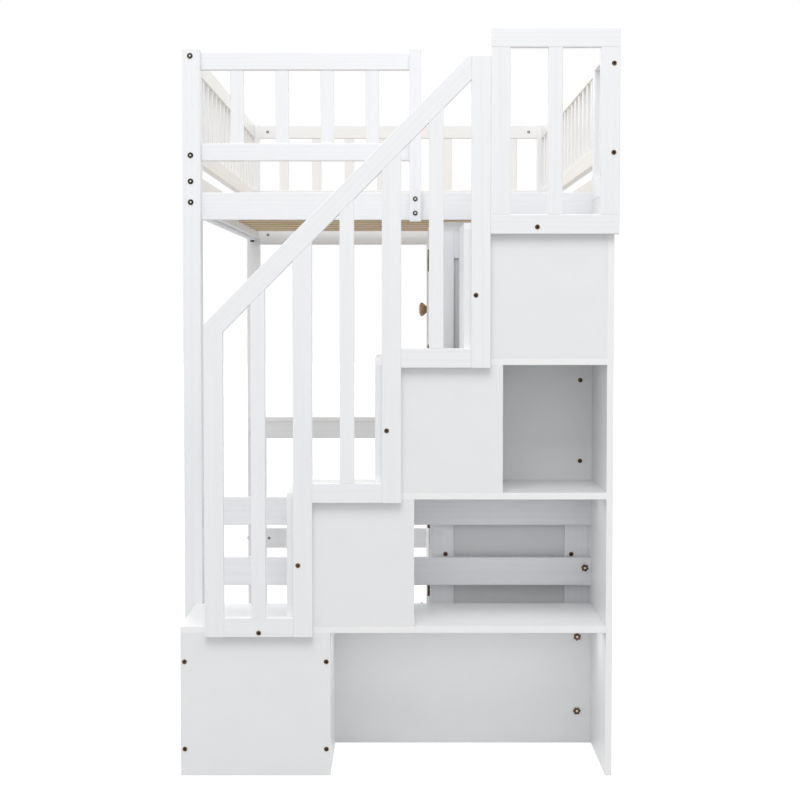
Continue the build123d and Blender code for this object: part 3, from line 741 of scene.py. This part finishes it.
def stand(name, masters, body, node):
    """Copies of master meshes at their (point, outward) places, as one piece that replaces a CAD node."""
    turn_degrees = 23
    bm = bmesh.new()
    for mesh, places in masters:
        for turn, (point, outward) in enumerate(places):
            before = len(bm.verts)
            bm.from_mesh(mesh)
            bm.verts.ensure_lookup_table()
            spin = Matrix.Rotation(math.radians(turn_degrees * turn), 4, "Z")
            pose = Matrix.Translation(point) @ outward.to_track_quat("Z", "Y").to_matrix().to_4x4() @ spin
            bmesh.ops.transform(bm, matrix=pose, verts=bm.verts[before:])
    piece = add_piece(name, bm, masters[0][0].materials, body, node)
    piece.data.set_sharp_from_angle(angle=sharp_edge)


black_bronze = plated_steel("black_bronze_plated_steel", "#2A2622", "#57504A", 0.36)
# Painted highlight: a bright steel for the sockets and slots, which stands for the glint seen in them.
socket_highlight_steel = plated_steel("socket_painted_highlight_steel", "#D0CBC2", "#F1EEE7", 0.3)
sharp_edge = math.radians(38)
hex_sides = 6
head_radius = 7.0 * millimetre
head_height = 2.5 * millimetre
tall_radius = 7.5 * millimetre
tall_height = 6.0 * millimetre
stub_radius = 5.9 * millimetre
stub_reach = 100 * millimetre
downward = -0.5
dome = [(1.0, 0.0), (1.0, 0.35), (0.95, 0.68), (0.84, 0.9), (0.7, 1.0), (0.56, 1.0)]
# The bolt sockets get the painted highlight steel.
bolt_head = head_mesh(
    "bolt_head", [(head_radius * r, head_height * z) for r, z in dome],
    polygon(hex_sides, 0.34 * head_radius), 0.8 * head_height, [black_bronze, socket_highlight_steel],
)
tall_head = head_mesh(
    "tall_bolt_head", [(tall_radius * r, tall_height * z) for r, z in dome],
    polygon(hex_sides, 0.42 * head_radius), 0.6 * head_height, [black_bronze, socket_highlight_steel],
)
stub_head = head_mesh(
    "stub_bolt_head", [(stub_radius * r, head_height * z) for r, z in dome],
    polygon(hex_sides, 0.5 * stub_radius), 0.6 * head_height, [black_bronze, socket_highlight_steel],
)
low_places = []
tall_places = []
stub_places = []
for face, outward in bolt_ends("frame_bolts"):
    if outward.z < downward:
        tall_places.append((face - tall_height * outward, outward))
    elif abs(face.x) < stub_reach:
        stub_places.append((face - head_height * outward, outward))
    else:
        low_places.append((face - head_height * outward, outward))
masters = [(bolt_head, low_places), (tall_head, tall_places), (stub_head, stub_places)]
stand("frame_bolt_heads", masters, "bed", "frame_bolts")

# Barrel nuts: steel dowels across the rails, into which the bolts screw. They are pushed in from
# inside the bed, where the slotted end shows.
nut_depth = 12 * millimetre
nut_radius = 5 * millimetre
slot_depth = 2 * millimetre
slot_x = 0.62 * nut_radius
slot_y = 0.16 * nut_radius
slot_outline = [Vector((x * slot_x, y * slot_y, 0)) for x, y in ((1, 1), (-1, 1), (-1, -1), (1, -1))]
nut_rings = [(nut_radius, 0), (nut_radius, 0.95 * nut_depth), (0.9 * nut_radius, nut_depth)]
# The nut's slot gets the painted highlight steel.
nut = head_mesh("barrel_nut", nut_rings, slot_outline, slot_depth, [bronze, socket_highlight_steel])
nut_places = []
for lows, highs, _ in loose_parts("barrel_nuts"):
    centre = (lows + highs) / 2
    inward = Vector((0, -math.copysign(1, centre.y), 0))
    nut_places.append((centre - nut_depth / 2 * inward, inward))
stand("barrel_nut_ends", [(nut, nut_places)], "bed", "barrel_nuts")

# Panel screws: connecting screws with a low round head and a hex socket, plated antique bronze.
# They hold the stair boards, the guards and the cabinet together.
screw_radius = 5.6 * millimetre
screw_height = 1.6 * millimetre
# The screw socket gets the painted highlight steel.
screw_head = head_mesh(
    "screw_head", [(screw_radius * r, screw_height * z) for r, z in dome],
    polygon(hex_sides, 0.48 * screw_radius), 0.6 * screw_height, [bronze, socket_highlight_steel],
)
screw_places = [(face - screw_height * out, out) for face, out in bolt_ends("panel_screws")]
stand("panel_screw_heads", [(screw_head, screw_places)], "bed", "panel_screws")

# Star bolts: connector heads with a six-lobed rim that fingers can turn, plated antique bronze.
# They hold the stair unit's back boards to the bed's lower brace rail.
star_radius = 9.7 * millimetre
star_height = 4 * millimetre
lobe_share = 0.12
lobe_reach = 1.1
star_rings = [(0.94, 0.0), (0.97, 0.2), (0.97, 0.7), (0.88, 0.94), (0.72, 1.0), (0.5, 0.94)]
# The star bolt socket gets the painted highlight steel.
star_head = head_mesh(
    "star_head", [(star_radius * r / lobe_reach, star_height * z) for r, z in star_rings],
    polygon(hex_sides, 0.3 * star_radius), 0.5 * star_height, [bronze, socket_highlight_steel], lobes=lobe_share,
)
star_places = []
for lows, highs, _ in loose_parts("star_bolts"):
    centre = (lows + highs) / 2
    star_places.append((Vector((centre.x, lows.y + star_height, centre.z)), Vector((0, -1, 0))))
stand("star_bolt_heads", [(star_head, star_places)], "bed", "star_bolts")
